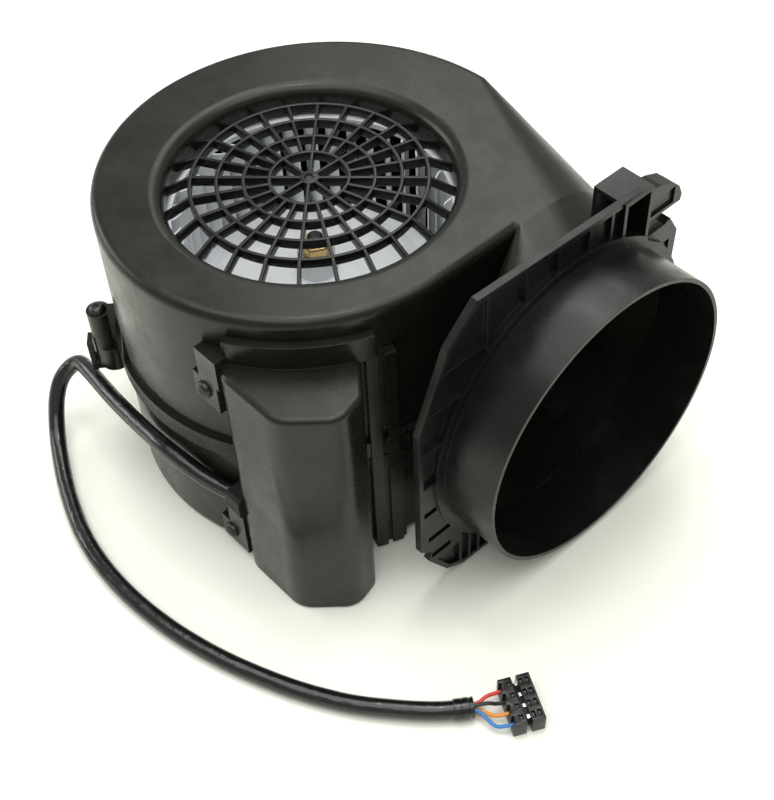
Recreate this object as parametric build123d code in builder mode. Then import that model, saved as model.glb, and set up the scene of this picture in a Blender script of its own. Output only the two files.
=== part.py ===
from build123d import *
import math
import os

# Cooker-hood extractor fan: a double-inlet centrifugal blower in a two-part scroll housing, with its
# motor inside the impeller, a 150 mm round outlet on a clip-on flange, and a four-wire lead.
# Millimetres. Origin on the fan axis at the base plane, +Z up the fan axis, +X along the outlet.

# ---- driving dimensions -------------------------------------------------------------------------
HOUSING_HEIGHT = 159.0
WALL = 2.5
SEAM_Z = 74.0                 # joint between the lower and the upper shell
RIM_FILLET = 4.5

SCROLL_RADIUS = 91.9          # first of the three quarter arcs of the four-centre scroll
SCROLL_STEP = 6.9             # side of the square that holds the arc centres
TONGUE_Y = 40.0               # cut-off edge, where the outlet neck starts

INLET_LIP_RADIUS = 71.8
INLET_ROLL = 6.3              # radius of the rolled inlet edge
INLET_DEPTH = 14.0

DUCT_RADIUS = 75.0            # outside of the spigot, for 150 mm ducting
DUCT_WALL = 2.0
DUCT_Y = 41.2
FLANGE_X = 116.0              # back face of the outlet flange
FLANGE_THICKNESS = 3.6
SPIGOT_END_X = 149.2

IMPELLER_RADIUS = 70.0
IMPELLER_BOTTOM = 16.0
IMPELLER_TOP = 142.0
BLADE_COUNT = 40

SHAFT_RADIUS = 4.0
STATOR_RADIUS = 43.0
STATOR_BORE = 24.0

CABLE_RADIUS = 4.2
WIRE_RADIUS = 0.9

# ---- derived dimensions -------------------------------------------------------------------------
HALF_STEP = SCROLL_STEP / 2
SCROLL_RIGHT = SCROLL_RADIUS - HALF_STEP            # straight wall on the outlet side
SCROLL_BACK = SCROLL_RADIUS + 2.5 * SCROLL_STEP     # straight back wall of the outlet
INLET_THROAT = INLET_LIP_RADIUS - INLET_ROLL
MID_HEIGHT = HOUSING_HEIGHT / 2
MID_PLANE = Plane.XY.offset(MID_HEIGHT)
DUCT_Z = MID_HEIGHT
DUCT_BORE = DUCT_RADIUS - DUCT_WALL
FLANGE_FRONT = FLANGE_X + FLANGE_THICKNESS
BOUNDARY_GAP = 0.05           # keeps a cover off the curved wall that it sits against

os.makedirs("parts", exist_ok=True)


def finish(builder, label):
    """Name a finished piece and write its STEP file."""
    builder.part.label = label
    export_step(builder.part, f"parts/{label}.step")


def polar(radius, angle, z=0.0):
    """Point at a radius and an angle in degrees about the fan axis."""
    return Vector(radius * math.cos(math.radians(angle)), radius * math.sin(math.radians(angle)), z)


def radial_plane(angle):
    """Upright plane through the fan axis: its X points away from the axis at an angle, its Y points up."""
    return Plane(origin=(0, 0, 0), x_dir=polar(1.0, angle), z_dir=polar(1.0, angle - 90))


def vertical_cylinder(centre, radius, bottom, top):
    """Upright cylinder between two heights, for adding to or cutting from a piece."""
    height = top - bottom
    return Pos(centre.X, centre.Y, bottom + height / 2) * Cylinder(radius, height, mode=Mode.PRIVATE)


def box_between(x_limits, y_limits, z_limits):
    """Box given by its limits along each axis."""
    corner = Pos(x_limits[0], y_limits[0], z_limits[0])
    sizes = [limits[1] - limits[0] for limits in (x_limits, y_limits, z_limits)]
    return corner * Box(*sizes, align=(Align.MIN, Align.MIN, Align.MIN), mode=Mode.PRIVATE)


# ---- scroll housing -----------------------------------------------------------------------------
NOTCH_Y = 46.0                # the scroll stops here on the outlet side, where the neck takes over
NECK_FAR_RADIUS = 50.0
NECK_NEAR_RADIUS = 4.0
NECK_FLARE_DELAY = 3.1        # the inside starts to flare later, which keeps the flared wall thick
NECK_SOCKET = 2.5             # straight ring that the flange seats on
NECK_END_CORNER = 70.0        # corner of the neck's end section, almost a circle


def scroll_face(inset):
    """Outline of the scroll without its neck, moved inwards by inset: three quarter arcs of growing radius."""
    first = SCROLL_RADIUS - inset
    second = first + SCROLL_STEP
    third = second + SCROLL_STEP
    with BuildSketch() as face:
        with BuildLine():
            near_side = CenterArc((-HALF_STEP, -HALF_STEP), first, 0, -90)
            CenterArc((-HALF_STEP, HALF_STEP), second, -90, -90)
            far_side = CenterArc((HALF_STEP, HALF_STEP), third, 180, -90)
            right = SCROLL_RIGHT - inset
            Polyline(far_side @ 1, (HALF_STEP, NOTCH_Y), (right, NOTCH_Y), near_side @ 0)
        make_face()
    return face.sketch


def scroll_body(inset):
    """Scroll between its two flat ends. The outside has a rolled rim."""
    outline = Pos(0, 0, inset) * scroll_face(inset)
    with BuildPart() as body:
        extrude(outline, amount=HOUSING_HEIGHT - 2 * inset)
        if inset == 0:
            ends = faces().filter_by(Axis.Z).edges()
            right_side = ends.filter_by(Axis.Y).sort_by(Axis.X)[-2:]
            fillet(ends.filter_by(GeomType.CIRCLE) + right_side, RIM_FILLET)
    return body.part


def duct_face(x, near, far, margin, near_radius, far_radius):
    """Section of the outlet neck across the flow, margin inside the housing height."""
    bottom, top = margin, HOUSING_HEIGHT - margin
    corners = [(near, bottom), (far, bottom), (far, top), (near, top)]
    radii = [near_radius, far_radius, far_radius, near_radius]
    with BuildSketch(Plane.YZ.offset(x)) as face:
        with BuildLine():
            FilletPolyline(*corners, radius=radii, close=True)
        make_face()
    return face.sketch


def neck(inset, flare_x, end_x):
    """Outlet neck: its back corners open up along the scroll, then it flares out to the round outlet."""
    near, far = TONGUE_Y + inset, SCROLL_BACK - inset
    near_radius = NECK_NEAR_RADIUS - inset / 2
    end_radius = DUCT_RADIUS - inset
    end_corner = NECK_END_CORNER - inset
    root = duct_face(HALF_STEP, near, far, inset, near_radius, RIM_FILLET - inset)
    throat = duct_face(flare_x, near, far, inset, near_radius, NECK_FAR_RADIUS - inset)
    mouth = duct_face(end_x, DUCT_Y - end_radius, DUCT_Y + end_radius, MID_HEIGHT - end_radius, end_corner, end_corner)
    with BuildPart() as duct:
        loft([root, throat], ruled=True)
        loft([throat, mouth], ruled=True)
        extrude(mouth, amount=FLANGE_X - end_x)
    return duct.part


def inlet_bell():
    """Rolled edge of the upper air inlet, from the deck down to the throat."""
    roll_centre = (INLET_LIP_RADIUS, HOUSING_HEIGHT - INLET_ROLL)
    foot = HOUSING_HEIGHT - INLET_DEPTH
    with BuildPart() as bell:
        with BuildSketch(Plane.XZ):
            with BuildLine():
                crest = CenterArc(roll_centre, INLET_ROLL, 90, 90)
                under = CenterArc(roll_centre, INLET_ROLL - WALL, 180, -90)
                Polyline(crest @ 1, (INLET_THROAT, foot), (INLET_THROAT + WALL, foot), under @ 0)
                Line(under @ 1, crest @ 0)
            make_face()
        revolve(axis=Axis.Z)
    return bell.part


LIP_HEIGHT = 5.0              # each shell's seam lip
LIP_DEPTH = 2.6

scroll_outside = scroll_body(0)
scroll_inside = scroll_body(WALL)
neck_outside = neck(0, SCROLL_RIGHT, FLANGE_X - NECK_SOCKET)
neck_inside = neck(WALL, SCROLL_RIGHT + NECK_FLARE_DELAY, FLANGE_X - NECK_SOCKET / 2)
lip_outline = Pos(0, 0, SEAM_Z - LIP_HEIGHT) * scroll_face(-LIP_DEPTH)
upper_bell = inlet_bell()

with BuildPart() as housing:
    add(scroll_outside)
    extrude(lip_outline, amount=2 * LIP_HEIGHT)
    add(neck_outside)
    add(scroll_inside, mode=Mode.SUBTRACT)
    add(neck_inside, mode=Mode.SUBTRACT)
    add(vertical_cylinder(Vector(0, 0), INLET_LIP_RADIUS, -1.0, HOUSING_HEIGHT + 1.0), mode=Mode.SUBTRACT)
    add(upper_bell)
    add(mirror(upper_bell, about=MID_PLANE))


# ---- bosses and rails on the outside of the shells ----------------------------------------------
TOWER_ANGLES = (-128.0, 176.0, 122.0)
TOWER_RADIUS = 5.8
TOWER_STAND_OFF = 9.5         # tower axis to the wall
TOWER_TOP = SEAM_Z + 13.0
TOWER_BOTTOM = SEAM_Z - 22.0
TOWER_WEB = 7.0
RAIL_ANGLES = (-25.5, -20.5)
RAIL_WIDTH = 5.6
RAIL_DEPTH = 4.0
SCREW_RADIUS = 2.0
SCREW_HEAD_RADIUS = 4.2
SCREW_HEAD_HEIGHT = 2.8


def wall_radius(angle):
    """Distance from the fan axis to the outside of the scroll, in a direction in degrees."""
    direction = polar(1.0, angle)
    if -90 <= angle <= 0:
        centre, radius = Vector(-HALF_STEP, -HALF_STEP), SCROLL_RADIUS
    elif angle < -90 or angle > 180:
        centre, radius = Vector(-HALF_STEP, HALF_STEP), SCROLL_RADIUS + SCROLL_STEP
    else:
        centre, radius = Vector(HALF_STEP, HALF_STEP), SCROLL_RADIUS + 2 * SCROLL_STEP
    along = centre.dot(direction)
    return along + math.sqrt(radius ** 2 - centre.dot(centre) + along ** 2)


def tower(angle, bottom, top):
    """Screw tower beside the wall, joined to it by a web."""
    wall = wall_radius(angle)
    centre = polar(wall + TOWER_STAND_OFF, angle)
    web_length = TOWER_STAND_OFF + WALL / 2
    web_middle = polar(wall + TOWER_STAND_OFF - web_length / 2, angle, (bottom + top) / 2)
    web = Location(web_middle, (0, 0, angle)) * Box(web_length, TOWER_WEB, top - bottom, mode=Mode.PRIVATE)
    post = vertical_cylinder(centre, TOWER_RADIUS, bottom, top)
    return web + post - vertical_cylinder(centre, SCREW_RADIUS, bottom, top)


def rail(angle, bottom, top):
    """Upright rail on the wall beside the outlet."""
    depth = RAIL_DEPTH + WALL / 2
    middle = polar(wall_radius(angle) + RAIL_DEPTH - depth / 2, angle, (bottom + top) / 2)
    return Location(middle, (0, 0, angle)) * Box(depth, RAIL_WIDTH, top - bottom)


# The cover's screws pass through its lugs into the wall: two on the left, one on a rail.
LUG_X = 35.0
UPPER_LUG_SCREW_Z = 117.0
LOWER_LUG_SCREW_Z = 15.0
LUG_FACE_Y = -92.6
RAIL_SCREW_ANGLE = -29.5
RAIL_SCREW_Z = 86.0
COVER_SCREW_RADIUS = 1.8

cover_screw_places = [
    Location((LUG_X, LUG_FACE_Y, UPPER_LUG_SCREW_Z), (90, 0, 0)),
    Location((LUG_X, LUG_FACE_Y, LOWER_LUG_SCREW_Z), (90, 0, 0)),
]


def screw_shank(place, length):
    """Cylinder of a cover screw's shank, reaching back from the face under its head."""
    return place * Pos(0, 0, -length / 2) * Cylinder(COVER_SCREW_RADIUS, length)


SHANK_REACH = 12.0

# ---- upper shell --------------------------------------------------------------------------------
GUSSET_ANGLES = (-112.0, 160.0)
GUSSET_WIDTH = 2.4
GUSSET_HEIGHT = 34.0
RAIL_TOP = 135.0
RAIL_BOTTOM = 1.0
upper_towers = [tower(angle, SEAM_Z, TOWER_TOP) for angle in TOWER_ANGLES]
upper_rails = [rail(angle, SEAM_Z, RAIL_TOP) for angle in RAIL_ANGLES]
cover_screw_holes = [screw_shank(place, SHANK_REACH) for place in cover_screw_places]
with BuildPart() as upper_shell:
    add(housing.part)
    split(bisect_by=Plane.XY.offset(SEAM_Z), keep=Keep.TOP)
    add(upper_towers)
    add(upper_rails)
    for angle in GUSSET_ANGLES:
        foot = wall_radius(angle)
        with BuildSketch(radial_plane(angle)):
            Polygon((foot - WALL / 2, SEAM_Z), (foot + LIP_DEPTH, SEAM_Z),
                    (foot + LIP_DEPTH, SEAM_Z + LIP_HEIGHT), (foot - WALL / 2, SEAM_Z + GUSSET_HEIGHT),
                    align=None)
        extrude(amount=GUSSET_WIDTH / 2, both=True)
    add(cover_screw_holes, mode=Mode.SUBTRACT)
finish(upper_shell, "upper_shell")

# ---- lower shell, and the motor carrier in its air inlet ----------------------------------------
CARRIER_BOTTOM = 6.5
CARRIER_TOP = 12.5
CARRIER_INNER = 26.0
CARRIER_OUTER = 42.0
CARRIER_ARM_WIDTH = 6.0
CARRIER_ARMS = 6
MOUNT_CIRCLE = 34.0
MOUNT_COUNT = 3
PLATE_ANGLE = -22.5           # flat backing of the rails
PLATE_WIDTH = 16.0
PLATE_DEPTH = 2.0
LATCH_ANGLE = TOWER_ANGLES[0]  # the tower here has a sprung tongue beside it
lower_towers = [tower(angle, TOWER_BOTTOM, SEAM_Z) for angle in TOWER_ANGLES]
lower_rails = [rail(angle, RAIL_BOTTOM, SEAM_Z) for angle in RAIL_ANGLES]
plate_middle = polar(wall_radius(PLATE_ANGLE) + PLATE_DEPTH / 2 - WALL / 4, PLATE_ANGLE, SEAM_Z / 2 - 3.0)
rail_plate = Location(plate_middle, (0, 0, PLATE_ANGLE)) * Box(PLATE_DEPTH + WALL / 2, PLATE_WIDTH, SEAM_Z - 8.0)
latch_wall = wall_radius(LATCH_ANGLE)
latch_boss = vertical_cylinder(polar(latch_wall + TOWER_STAND_OFF - 2.6, LATCH_ANGLE), 7.2, TOWER_BOTTOM - 1.0, 65.0)
latch_hole = vertical_cylinder(polar(latch_wall + TOWER_STAND_OFF, LATCH_ANGLE), SCREW_RADIUS, TOWER_BOTTOM - 2, 66.0)
latch_tongue = Location(polar(latch_wall + 17.0, LATCH_ANGLE, 58.5), (0, 0, LATCH_ANGLE)) * Box(2.6, 8.0, 19.0)
latch_bridge = Location(polar(latch_wall + 14.0, LATCH_ANGLE, 52.0), (0, 0, LATCH_ANGLE)) * Box(7.0, 8.0, 4.0)
with BuildPart() as lower_shell:
    add(housing.part)
    split(bisect_by=Plane.XY.offset(SEAM_Z), keep=Keep.BOTTOM)
    add(lower_towers)
    add(lower_rails)
    add(rail_plate)
    add([latch_boss, latch_tongue, latch_bridge])
    add(latch_hole, mode=Mode.SUBTRACT)
    add(cover_screw_holes, mode=Mode.SUBTRACT)
finish(lower_shell, "lower_shell")

carrier_floor = Plane.XY.offset(CARRIER_BOTTOM)
with BuildPart() as carrier_ring:
    with BuildSketch(carrier_floor):
        Circle(CARRIER_OUTER)
        Circle(CARRIER_INNER, mode=Mode.SUBTRACT)
        with PolarLocations(MOUNT_CIRCLE, MOUNT_COUNT):
            Circle(SCREW_RADIUS, mode=Mode.SUBTRACT)
    extrude(amount=CARRIER_TOP - CARRIER_BOTTOM)
finish(carrier_ring, "carrier_ring")

with BuildPart() as carrier_arms:
    with BuildSketch(carrier_floor):
        with PolarLocations((CARRIER_OUTER + INLET_THROAT) / 2, CARRIER_ARMS):
            Rectangle(INLET_THROAT - CARRIER_OUTER + WALL, CARRIER_ARM_WIDTH)
        Circle(INLET_THROAT, mode=Mode.INTERSECT)
        Circle(CARRIER_OUTER, mode=Mode.SUBTRACT)
    extrude(amount=CARRIER_TOP - CARRIER_BOTTOM)
finish(carrier_arms, "carrier_arms")

# ---- inlet grille: rings on spokes, flush with the deck, its outer spokes dropping to the throat -
GRILLE_TOP = HOUSING_HEIGHT - 0.5
GRILLE_DEPTH = 5.0
GRILLE_RIB = 1.7
GRILLE_HUB = 4.6
GRILLE_RINGS = (17.9, 29.5, 41.6, 53.5)
GRILLE_INNER_SPOKES = 8
GRILLE_SPOKES = 24
GRILLE_DROP = 7.0
grille_plane = Plane.XY.offset(GRILLE_TOP - GRILLE_DEPTH)
with BuildPart() as inlet_grille:
    with BuildSketch(grille_plane):
        Circle(GRILLE_HUB)
    extrude(amount=GRILLE_DEPTH)
    for radius in GRILLE_RINGS:
        with BuildSketch(grille_plane):
            Circle(radius + GRILLE_RIB / 2)
            Circle(radius - GRILLE_RIB / 2, mode=Mode.SUBTRACT)
        extrude(amount=GRILLE_DEPTH)
    inner_ring, outer_ring = GRILLE_RINGS[0], GRILLE_RINGS[-1]
    with BuildSketch(grille_plane):
        with PolarLocations(inner_ring / 2, GRILLE_INNER_SPOKES):
            Rectangle(inner_ring, GRILLE_RIB)
        with PolarLocations((inner_ring + outer_ring) / 2, GRILLE_SPOKES):
            Rectangle(outer_ring - inner_ring, GRILLE_RIB)
    extrude(amount=GRILLE_DEPTH)
    reach = INLET_THROAT + 1.0
    for spoke in range(GRILLE_SPOKES):
        with BuildSketch(radial_plane(spoke * 360 / GRILLE_SPOKES)):
            Polygon((outer_ring, GRILLE_TOP), (reach, GRILLE_TOP - GRILLE_DROP),
                    (reach, GRILLE_TOP - GRILLE_DROP - GRILLE_DEPTH), (outer_ring, GRILLE_TOP - GRILLE_DEPTH),
                    align=None)
        extrude(amount=GRILLE_RIB / 2, both=True)
    add(vertical_cylinder(Vector(0, 0), INLET_THROAT, MID_HEIGHT, HOUSING_HEIGHT), mode=Mode.INTERSECT)
finish(inlet_grille, "inlet_grille")

# ---- outlet flange and spigot -------------------------------------------------------------------
FLANGE_WEB = 1.6
FLANGE_RIM = 2.4
FLANGE_RIB = 1.6
COLLAR_RADIUS = 80.0          # raised ring round the spigot
COLLAR_PROUD = 1.4
FLANGE_FOOT_Z = 1.2           # lowest edge of the flange
PANEL = ((-51.0, -21.0), (22.0, 81.0))               # plain lower corner: its Y and Z limits
PANEL_SLOTS = ((-41.2, 62.0, 7.6), (-35.0, 42.0, 15.0), (-34.6, 28.0, 12.0))
SLOT_HEIGHT = 3.4
SIDE_RIB_HEIGHTS = (104.0, 126.0, 146.0)
SIDE_RIB_END = -30.0
TOP_RIB_PLACES = (-8.0, 14.0, 33.0, 52.0, 66.0)
LOBE_RIB_PLACES = (-22.0, -16.0, -10.0, -4.0, 2.0)
BLOCK_X = (102.7, 120.6)      # hollow box at the top corner
BLOCK_Y = (72.5, 91.0)
BLOCK_Z = (137.0, 171.0)
BLOCK_WALL = 2.0
HOOK_BACK = 7.0
HOOK_DEPTH = 8.0
HOOK_RIM = 1.2
flange_corners = [(-31.0, 158.5), (-47.4, 118.0), (-47.4, 37.0), (-40.4, 31.0), (-42.6, 26.0),
                  (-31.0, 8.0), (-20.0, 2.0), (0.0, FLANGE_FOOT_Z), (84.0, 2.0), (108.0, 22.0),
                  (120.0, 79.5), (117.0, 108.0), (104.0, 130.0), (91.0, 140.0), (91.0, 170.8), (-14.5, 175.0)]
upper_hook = [(90.0, 147.0), (115.2, 147.0), (115.8, 150.5), (113.0, 156.5), (107.5, 161.5), (99.0, 165.0), (90.0, 166.5)]
lower_hook = [(90.0, 108.0), (116.0, 108.0), (116.5, 129.0), (110.0, 139.5), (106.0, 138.0), (90.0, 138.0)]
flange_plane = Plane.YZ.offset(FLANGE_X)
duct_centre = (DUCT_Y, DUCT_Z)


with BuildSketch(flange_plane) as flange_web:
    Polygon(*flange_corners, align=None)

with BuildSketch(flange_plane) as flange_rim:
    Polygon(*flange_corners, align=None)
    offset(amount=-FLANGE_RIM, kind=Kind.INTERSECTION, mode=Mode.SUBTRACT)

with BuildSketch(flange_plane) as flange_ribs:
    for height in SIDE_RIB_HEIGHTS:
        with Locations((SIDE_RIB_END, height)):
            Rectangle(40.0, FLANGE_RIB)
    for place in TOP_RIB_PLACES:
        with Locations((place, DUCT_Z + COLLAR_RADIUS)):
            Rectangle(FLANGE_RIB, 34.0)
    for place in LOBE_RIB_PLACES:
        with Locations((place, 14.0)):
            Rectangle(FLANGE_RIB, 34.0)
    (panel_left, panel_right), (panel_bottom, panel_top) = PANEL
    with Locations(((panel_left + panel_right) / 2, (panel_bottom + panel_top) / 2)):
        Rectangle(panel_right - panel_left, panel_top - panel_bottom)
    Polygon(*flange_corners, align=None, mode=Mode.INTERSECT)

with BuildSketch(flange_plane) as flange_slots:
    for y, z, length in PANEL_SLOTS:
        with Locations((y, z)):
            Rectangle(length, SLOT_HEIGHT)

with BuildSketch(flange_plane) as collar:
    with Locations(duct_centre):
        Circle(COLLAR_RADIUS)
    Polygon(*flange_corners, align=None, mode=Mode.INTERSECT)

with BuildSketch(flange_plane.offset(-HOOK_BACK)) as hooks:
    Polygon(*upper_hook, align=None)
    Polygon(*lower_hook, align=None)

with BuildSketch(flange_plane.offset(-HOOK_BACK)) as hook_rims:
    Polygon(*upper_hook, align=None)
    Polygon(*lower_hook, align=None)
    with Locations((98.0, 153.5), (99.5, 122.0)):
        Rectangle(24.0, 9.0, mode=Mode.SUBTRACT)

block = box_between(BLOCK_X, BLOCK_Y, BLOCK_Z)
block_front = box_between((BLOCK_X[0] + BLOCK_WALL, BLOCK_X[1] + 1), (BLOCK_Y[0] + BLOCK_WALL, BLOCK_Y[1] - BLOCK_WALL),
                          (BLOCK_Z[0] + BLOCK_WALL, BLOCK_Z[1] - BLOCK_WALL))
block_side = box_between((BLOCK_X[0] + BLOCK_WALL, FLANGE_X - BLOCK_WALL), (BLOCK_Y[0] - 1, BLOCK_Y[0] + 2 * BLOCK_WALL),
                         (BLOCK_Z[0] + BLOCK_WALL, BLOCK_Z[1] - BLOCK_WALL))

neck_clearance = neck(-BOUNDARY_GAP, SCROLL_RIGHT, FLANGE_X - NECK_SOCKET)

with BuildPart() as outlet_flange:
    extrude(flange_web.sketch, amount=FLANGE_WEB)
    extrude(flange_rim.sketch, amount=FLANGE_THICKNESS)
    extrude(flange_ribs.sketch, amount=FLANGE_THICKNESS)
    extrude(flange_slots.sketch, amount=FLANGE_THICKNESS, mode=Mode.SUBTRACT)
    extrude(hooks.sketch, amount=HOOK_DEPTH)
    extrude(hook_rims.sketch, amount=HOOK_DEPTH + HOOK_RIM)
    add(block)
    add(block_front, mode=Mode.SUBTRACT)
    add(block_side, mode=Mode.SUBTRACT)
    extrude(collar.sketch, amount=FLANGE_THICKNESS + COLLAR_PROUD)
    with BuildSketch(flange_plane) as spigot:
        with Locations(duct_centre):
            Circle(DUCT_RADIUS)
    extrude(amount=SPIGOT_END_X - FLANGE_X)
    with BuildSketch(flange_plane.offset(-2 * HOOK_BACK)) as duct_bore:
        with Locations(duct_centre):
            Circle(DUCT_BORE)
    extrude(amount=SPIGOT_END_X, mode=Mode.SUBTRACT)
    add(neck_clearance, mode=Mode.SUBTRACT)
finish(outlet_flange, "outlet_flange")

# ---- box on the side of the scroll, over the capacitor and the terminals ------------------------
BOX_WALL = 2.2
BOX_TOP_Z = 136.5
BOX_SHOULDER = 2.6            # rounded edge between the box's top and its sides
BOX_FOOT = 1.8
BOX_RADII = (3.0, 6.0, 12.0, 14.0, 12.0, 6.0, 3.0, 3.0)
box_corners = [(42, -60), (42, -88), (50, -93), (84, -93), (102.5, -73), (98.5, -58), (83.5, -45.5), (62, -32)]
COLLAR_BAND = 4.5             # band along the scroll, above the box
COLLAR_BAND_TOP = 151.0
COLLAR_BEVEL = 2.4
COLLAR_BAND_ENDS = (-63.0, -24.5)


def box_face(corners, z, inset):
    """Level section of the box. Its inner corners lie inside the scroll, which trims it."""
    with BuildSketch(Plane.XY.offset(z)) as face:
        with BuildLine():
            FilletPolyline(*corners, radius=list(BOX_RADII), close=True)
        make_face()
        if inset > 0:
            offset(amount=-inset, mode=Mode.REPLACE)
    return face.sketch


scroll_clearance = extrude(Pos(0, 0, -1) * scroll_face(-BOUNDARY_GAP), amount=HOUSING_HEIGHT + 2)
lip_clearance = extrude(Pos(0, 0, SEAM_Z - LIP_HEIGHT - BOUNDARY_GAP) * scroll_face(-LIP_DEPTH - BOUNDARY_GAP),
                        amount=2 * (LIP_HEIGHT + BOUNDARY_GAP))
box_base = box_face(box_corners, 0, 0)
hollow_base = box_face(box_corners, BOX_WALL, BOX_WALL)
band_start, band_end = COLLAR_BAND_ENDS
band_sector = make_face(Polyline((0, 0), polar(150, band_start), polar(180, (band_start + band_end) / 2),
                                 polar(150, band_end), close=True))
band_outline = Pos(0, 0, BOX_TOP_Z - 1.0) * (scroll_face(-COLLAR_BAND) & band_sector)
band_height = COLLAR_BAND_TOP - COLLAR_BEVEL - BOX_TOP_Z + 1.0
upper_lug = box_between((27.5, 44.0), (LUG_FACE_Y, -80.0), (108.0, 124.0))
upper_lug_block = box_between((32.0, 46.0), (LUG_FACE_Y, -80.0), (124.0, 141.0))
lower_lug = box_between((27.5, 46.0), (LUG_FACE_Y, -80.0), (6.0, 21.0))
lower_lug_block = box_between((34.0, 46.0), (LUG_FACE_Y, -80.0), (21.0, 37.0))

# ---- supply cable: out of the box, back under its own fold and along the floor -------------------
CABLE_BORE_GAP = 0.05
cable_route = [
    (55.0, -81.0, 39.5), (42.5, -88.0, 43.2), (27.0, -95.2, 48.0), (14.0, -99.0, 53.0), (0.0, -100.6, 54.4),
    (-18.0, -99.6, 50.6), (-49.0, -96.8, 44.8), (-76.0, -93.4, 42.2), (-90.0, -91.7, 38.2),
    (-94.5, -100.6, 30.2), (-91.6, -108.0, 22.2), (-87.2, -113.2, 14.2), (-77.2, -120.6, 7.2),
    (-57.1, -131.0, 4.35), (-40.6, -137.8, 4.25), (-20.1, -144.6, 4.25), (2.0, -148.1, 4.25),
    (25.3, -148.6, 4.25), (49.4, -146.0, 4.25), (69.8, -141.5, 4.25), (85.6, -136.7, 4.25),
    (97.3, -132.3, 4.25), (113.1, -125.7, 4.3), (127.2, -118.4, 4.5), (140.8, -110.2, 4.8),
    (152.4, -101.0, 5.1), (163.4, -91.4, 5.3), (172.2, -82.4, 5.3), (178.6, -73.3, 5.3),
]


def arc_radii(route):
    """Largest bend radius that each inner corner of a route leaves room for."""
    points = [Vector(*point) for point in route]
    radii = []
    for before, corner, after in zip(points, points[1:], points[2:]):
        into, out = corner - before, after - corner
        half_turn = math.radians(into.get_angle(out)) / 2
        radii.append(0.45 * min(into.length, out.length) / math.tan(half_turn))
    return radii


def tube(route, radius):
    """Round bar along a route of straight runs and tangent arcs, with its length."""
    path = FilletPolyline(*route, radius=arc_radii(route))
    with BuildPart() as bar:
        with BuildSketch(Plane(origin=path @ 0, z_dir=path % 0)):
            Circle(radius)
        sweep(path=path)
    return bar.part


cable_tunnel = tube(cable_route[:4], CABLE_RADIUS + CABLE_BORE_GAP)
GROMMET_X = (38.0, 48.0)
GROMMET_Y = (-95.0, -84.3)
GROMMET_Z = (37.6, 50.0)
grommet_block = box_between(GROMMET_X, GROMMET_Y, GROMMET_Z)
grommet_notch = box_between((GROMMET_X[0] - 1.0, GROMMET_X[1] + BOUNDARY_GAP),
                            (GROMMET_Y[0] - BOUNDARY_GAP, GROMMET_Y[1] + 5.0),
                            (GROMMET_Z[0] - BOUNDARY_GAP, GROMMET_Z[1] + BOUNDARY_GAP))

with BuildPart() as terminal_cover:
    extrude(box_base, amount=BOX_TOP_Z)
    fillet(faces().sort_by(Axis.Z)[-1].edges(), BOX_SHOULDER)
    fillet(faces().sort_by(Axis.Z)[0].edges(), BOX_FOOT)
    extrude(hollow_base, amount=BOX_TOP_Z - 2 * BOX_WALL, mode=Mode.SUBTRACT)
    add([upper_lug, upper_lug_block, lower_lug, lower_lug_block])
    extrude(band_outline, amount=band_height)
    extrude(faces().sort_by(Axis.Z)[-1], amount=COLLAR_BEVEL, taper=45)
    add(scroll_clearance, mode=Mode.SUBTRACT)
    add(lip_clearance, mode=Mode.SUBTRACT)
    add(cover_screw_holes, mode=Mode.SUBTRACT)
    add(grommet_notch, mode=Mode.SUBTRACT)
finish(terminal_cover, "terminal_cover")

with BuildPart() as cable_grommet:
    add(grommet_block)
    fillet(edges().filter_by(Axis.X), 2.0)
    add(scroll_clearance, mode=Mode.SUBTRACT)
    add(cable_tunnel, mode=Mode.SUBTRACT)
finish(cable_grommet, "cable_grommet")

cable_tube = tube(cable_route, CABLE_RADIUS)
with BuildPart() as cable:
    add(cable_tube)
finish(cable, "cable")

# ---- four-way connector lying on the floor, and the four wires into it ---------------------------
CONNECTOR_LENGTH = 23.5
CONNECTOR_WIDTH = 6.2
CONNECTOR_HEIGHT = 10.0
CONNECTOR_PITCH = 8.6
CONNECTOR_HEADING = -27.0
connector_plane = Plane(origin=(190.3, -60.2, 0), x_dir=polar(1.0, CONNECTOR_HEADING), z_dir=(0, 0, 1))
CAVITY_LENGTH = 4.4
CAVITY_HEIGHT = 5.4
CAVITY_DEPTH = 4.2
CAVITY_PLACES = (-8.4, -2.8, 2.8, 8.4)
WIRE_HEIGHT = 5.0


def connector_box(x_limits, y_limits, z_limits):
    """Box in the connector's own frame: X along it, Y across it away from the wires."""
    return connector_plane.location * box_between(x_limits, y_limits, z_limits)


half_length = CONNECTOR_LENGTH / 2
half_width = CONNECTOR_WIDTH / 2
cavity_z = (WIRE_HEIGHT - CAVITY_HEIGHT / 2, WIRE_HEIGHT + CAVITY_HEIGHT / 2)
plug_body = connector_box((-half_length, half_length), (-half_width, half_width), (0.0, CONNECTOR_HEIGHT))
plug_web = connector_box((-half_length + 3, half_length - 3), (half_width, CONNECTOR_PITCH - half_width), (1.0, 8.6))
plug_latches = [connector_box((place - 1.6, place + 1.6), (half_width - 2.0, CONNECTOR_PITCH - half_width), (8.0, 9.6))
                for place in (-6.0, 6.0)]
wire_holes = [connector_plane.location * Pos(place, -half_width + 1.5, WIRE_HEIGHT) * Rot(90, 0, 0)
              * Cylinder(WIRE_RADIUS + CABLE_BORE_GAP, 3.0) for place in CAVITY_PLACES]
socket_body = connector_box((-half_length, half_length),
                            (CONNECTOR_PITCH - half_width, CONNECTOR_PITCH + half_width), (0.0, CONNECTOR_HEIGHT))
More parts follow.
